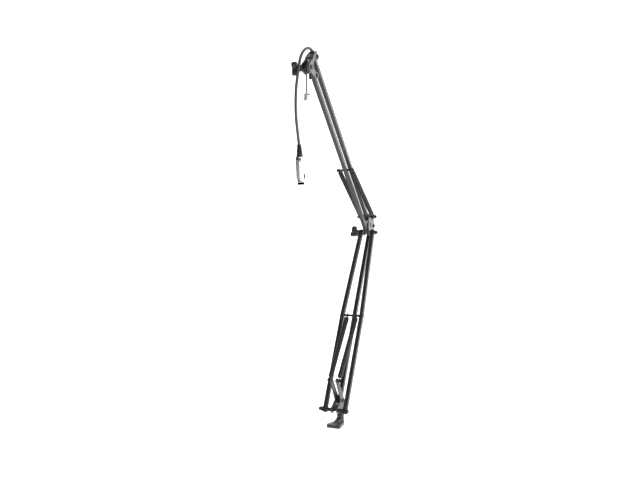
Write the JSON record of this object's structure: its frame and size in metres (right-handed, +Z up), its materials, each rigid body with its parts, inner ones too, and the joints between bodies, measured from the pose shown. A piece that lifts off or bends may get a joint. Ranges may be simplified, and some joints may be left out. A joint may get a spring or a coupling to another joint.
{
  "type": "boom microphone stand",
  "caption": "Desk-mounted microphone boom: spring-balanced two-section parallelogram arm on a swivel foot, with tilting mic rod, hand knobs and a captive cable ending in a round connector.",
  "frame": {"origin": "underside of the foot, on the swivel's axis", "axes": "+Z up, pivots along X, the arm folds in the YZ plane and reaches towards -Y"},
  "size_m": [0.0773, 0.415, 0.8715],
  "materials": {
    "powder_black": "satin black powder coat",
    "cheek_dark": "satin dark grey coat on pressed steel",
    "foot_cast": "satin black coat on a casting",
    "black_steel": "black oxide steel",
    "washer_steel": "dull zinc plate",
    "spring_steel": "black phosphated spring wire",
    "nylon_black": "moulded nylon",
    "knob_plastic": "moulded glass-filled nylon",
    "insert_metal": "turned",
    "chrome": "polished plate",
    "nickel_satin": "satin nickel plate",
    "gold_contact": "gold plate",
    "rubber_black": "moulded rubber",
    "cable_jacket": "matt PVC jacket",
    "insert_plastic": "moulded insulator"
  },
  "bodies": {
    "foot": {"foot_plate": "foot_cast", "swivel_bush": "nylon_black", "swivel_set_screw": "black_steel"},
    "base_bracket": {"swivel_spigot": "black_steel", "base_cheek_left": "cheek_dark", "base_cheek_right": "cheek_dark", "base_rod": "black_steel", "base_rod_nuts": "black_steel", "base_spacers": "black_steel", "rear_pivot_bolt": "black_steel", "spring_anchor_bolts": "black_steel"},
    "lower_arm": {"outer_tube_left": "powder_black", "outer_tube_right": "powder_black", "outer_tube_bushes": "nylon_black", "outer_tube_caps": "nylon_black", "mid_cross_rod": "black_steel"},
    "lower_link": {"middle_tube": "powder_black", "middle_tube_bushes": "nylon_black"},
    "elbow": {"elbow_cheek_left": "cheek_dark", "elbow_cheek_right": "cheek_dark", "elbow_standoff": "black_steel", "elbow_rod": "black_steel", "elbow_rod_nut": "black_steel", "elbow_washers": "washer_steel", "elbow_rear_bolt": "black_steel", "elbow_anchor_bolt": "black_steel"},
    "elbow_hand_knob": {"elbow_knob": "knob_plastic", "elbow_knob_insert": "insert_metal"},
    "upper_arm": {"boom_tube": "powder_black", "boom_tube_bushes": "nylon_black", "spring_bar": "black_steel"},
    "upper_link": {"link_tube": "powder_black", "link_tube_bushes": "nylon_black"},
    "head": {"head_cheek_left": "cheek_dark", "head_cheek_right": "cheek_dark", "head_web": "cheek_dark", "head_pivot_bolts": "black_steel", "knuckle_bolt": "black_steel", "friction_washers": "washer_steel", "cable_boot": "rubber_black", "mic_cable": "cable_jacket", "xlr_boot": "rubber_black", "xlr_shell": "nickel_satin", "xlr_insert": "insert_plastic", "xlr_contacts": "gold_contact"},
    "head_hand_knob": {"head_knob": "knob_plastic", "head_knob_insert": "insert_metal"},
    "mic_mount": {"mic_knuckle": "knob_plastic", "mic_rod": "chrome", "knuckle_lock_screw": "black_steel", "thread_adapter": "chrome"},
    "latch": {"xlr_latch": "insert_plastic"},
    "lower_spring_hangers": {"lower_springs": "spring_steel"},
    "lower_spring_ends": {"lower_spring_plugs": "black_steel"},
    "upper_spring_hangers": {"upper_springs": "spring_steel"},
    "upper_spring_ends": {"upper_spring_plugs": "black_steel"}
  },
  "joints": [
    {"name": "base_swivel", "type": "hinge", "parent": "foot", "child": "base_bracket", "pos_m": [0, 0, 0.026], "axis": [0, 0, 1], "continuous": true},
    {"name": "lower_lean", "type": "hinge", "parent": "base_bracket", "child": "lower_arm", "pos_m": [0, -0.031, 0.04], "axis": [1, 0, 0], "range_deg": [-11, 30]},
    {"name": "lower_link_pivot", "type": "hinge", "parent": "base_bracket", "child": "lower_link", "pos_m": [0, -0.0045, 0.058], "axis": [1, 0, 0], "range_deg": [-11, 30]},
    {"name": "elbow_level", "type": "hinge", "parent": "lower_arm", "child": "elbow", "pos_m": [0, 0.16986, 0.46492], "axis": [1, 0, 0], "range_deg": [-30, 11]},
    {"name": "upper_lift", "type": "hinge", "parent": "elbow", "child": "upper_arm", "pos_m": [0, 0.16986, 0.46492], "axis": [1, 0, 0], "range_deg": [-22, 35]},
    {"name": "upper_link_pivot", "type": "hinge", "parent": "elbow", "child": "upper_link", "pos_m": [0, 0.16986, 0.50642], "axis": [1, 0, 0], "range_deg": [-22, 35]},
    {"name": "head_level", "type": "hinge", "parent": "upper_arm", "child": "head", "pos_m": [0, -0.14827, 0.81088], "axis": [1, 0, 0], "range_deg": [-35, 22]},
    {"name": "mic_tilt", "type": "hinge", "parent": "head", "child": "mic_mount", "pos_m": [0, -0.17677, 0.82288], "axis": [1, 0, 0], "range_deg": [-90, 35]},
    {"name": "head_knob_turn", "type": "hinge", "parent": "head", "child": "head_hand_knob", "pos_m": [-0.026, -0.17677, 0.82288], "axis": [1, 0, 0], "continuous": true},
    {"name": "elbow_knob_turn", "type": "hinge", "parent": "elbow", "child": "elbow_hand_knob", "pos_m": [-0.032, 0.16986, 0.46492], "axis": [1, 0, 0], "continuous": true},
    {"name": "latch_press", "type": "slide", "parent": "head", "child": "latch", "axis": [-1, 0, 0], "range_m": [0, 0.0012], "stiffness_N_per_m": 400},
    {"name": "lower_spring_swing", "type": "hinge", "parent": "lower_arm", "child": "lower_spring_hangers", "pos_m": [0, 0.07071, 0.25517], "axis": [1, 0, 0], "range_deg": [-4.35, 11]},
    {"name": "lower_spring_stretch", "type": "slide", "parent": "lower_spring_hangers", "child": "lower_spring_ends", "axis": [0, -0.5963, -0.8028], "range_m": [-0.017, 0.0065], "deforming": ["lower_springs"]},
    {"name": "upper_spring_swing", "type": "hinge", "parent": "upper_arm", "child": "upper_spring_hangers", "pos_m": [0, 0.03042, 0.61655], "axis": [1, 0, 0], "range_deg": [-3.14, 4.7]},
    {"name": "upper_spring_stretch", "type": "slide", "parent": "upper_spring_hangers", "child": "upper_spring_ends", "axis": [0, 0.7847, -0.6198], "range_m": [-0.0132, 0.0207], "deforming": ["upper_springs"]}
  ],
  "couplings": [
    {"joint": "lower_link_pivot", "follows": "lower_lean", "ratio": 1},
    {"joint": "elbow_level", "follows": "lower_lean", "ratio": -1},
    {"joint": "lower_spring_swing", "follows": "lower_lean", "ratio": 0.35},
    {"joint": "lower_spring_stretch", "follows": "lower_lean", "m_per_rad": -0.031513},
    {"joint": "upper_link_pivot", "follows": "upper_lift", "ratio": 1},
    {"joint": "head_level", "follows": "upper_lift", "ratio": -1},
    {"joint": "upper_spring_swing", "follows": "upper_lift", "ratio": 0.12},
    {"joint": "upper_spring_stretch", "follows": "upper_lift", "m_per_rad": 0.033232}
  ]
}
